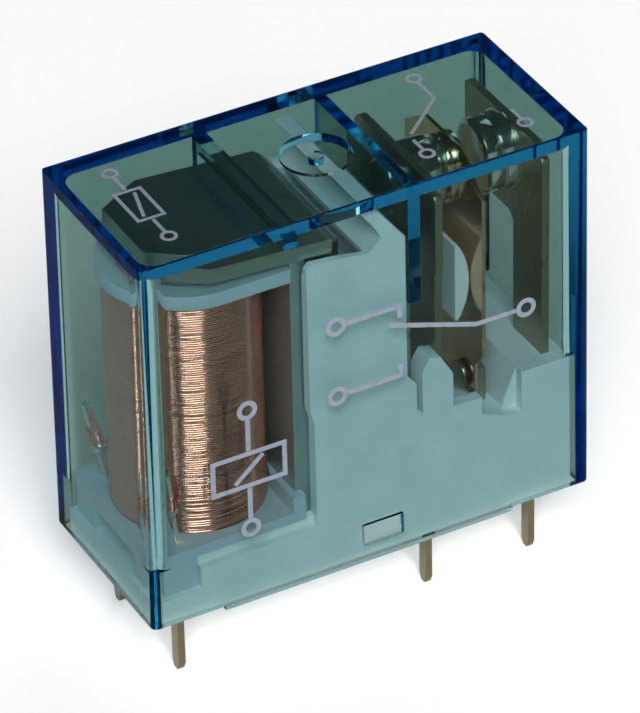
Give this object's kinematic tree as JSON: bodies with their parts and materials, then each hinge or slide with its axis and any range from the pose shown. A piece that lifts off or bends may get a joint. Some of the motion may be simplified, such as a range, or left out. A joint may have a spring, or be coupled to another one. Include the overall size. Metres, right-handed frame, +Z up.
{
  "type": "power relay",
  "caption": "Board-mounted power relay in a clear blue cover, with a copper coil, hinged armature, pusher and change-over contacts on solder pins.",
  "frame": {"origin": "middle of the underside, where the relay sits on its board", "axes": "+X from the coil end to the contact end, +Z up from the board, near side with two contact pins at -Y"},
  "size_m": [0.029, 0.0124, 0.03],
  "materials": {
    "clear_cover": "clear blue moulded cover",
    "white_plastic": "white moulded plastic",
    "bobbin_plastic": "pale grey moulded plastic",
    "copper_wire": "enamelled copper wire",
    "dark_steel": "dark plated sheet steel",
    "core_steel": "turned soft iron",
    "spring_bronze": "rolled bronze spring strip",
    "tinned_brass": "tinned brass strip",
    "contact_silver": "bright contact silver",
    "solder": "solder"
  },
  "bodies": {
    "frame": {"cover": "clear_cover", "base": "white_plastic", "bobbin": "bobbin_plastic", "coil_winding": "copper_wire", "core": "core_steel", "yoke": "dark_steel", "common_terminal": "tinned_brass", "spring_rivets": "tinned_brass", "nc_blade": "tinned_brass", "nc_contact": "contact_silver", "no_blade": "tinned_brass", "no_contact": "contact_silver", "coil_pin_near": "tinned_brass", "coil_pin_far": "tinned_brass", "coil_lead_near": "copper_wire", "coil_lead_far": "copper_wire", "coil_solder_near": "solder", "coil_solder_far": "solder"},
    "armature": {"armature": "dark_steel"},
    "pusher": {"pusher": "white_plastic"},
    "moving_contact": {"moving_spring": "spring_bronze", "moving_contact": "contact_silver"}
  },
  "joints": [
    {"name": "armature_hinge", "type": "hinge", "parent": "frame", "child": "armature", "pos_m": [-0.0033, 0, 0.0214], "axis": [0, -1, 0], "range_deg": [0, 4], "stiffness_Nm_per_rad": 0.004, "springref_deg": -28.65},
    {"name": "pusher_slide", "type": "slide", "parent": "frame", "child": "pusher", "axis": [1, 0, 0], "range_m": [0, 0.000349]},
    {"name": "contact_flex", "type": "hinge", "parent": "frame", "child": "moving_contact", "pos_m": [0.00825, 0, 0.0092], "axis": [0, 1, 0], "range_deg": [0, 3.35]}
  ],
  "couplings": [
    {"joint": "armature_hinge", "follows": "pusher_slide", "rad_per_m": 200},
    {"joint": "contact_flex", "follows": "pusher_slide", "rad_per_m": 166.66}
  ]
}
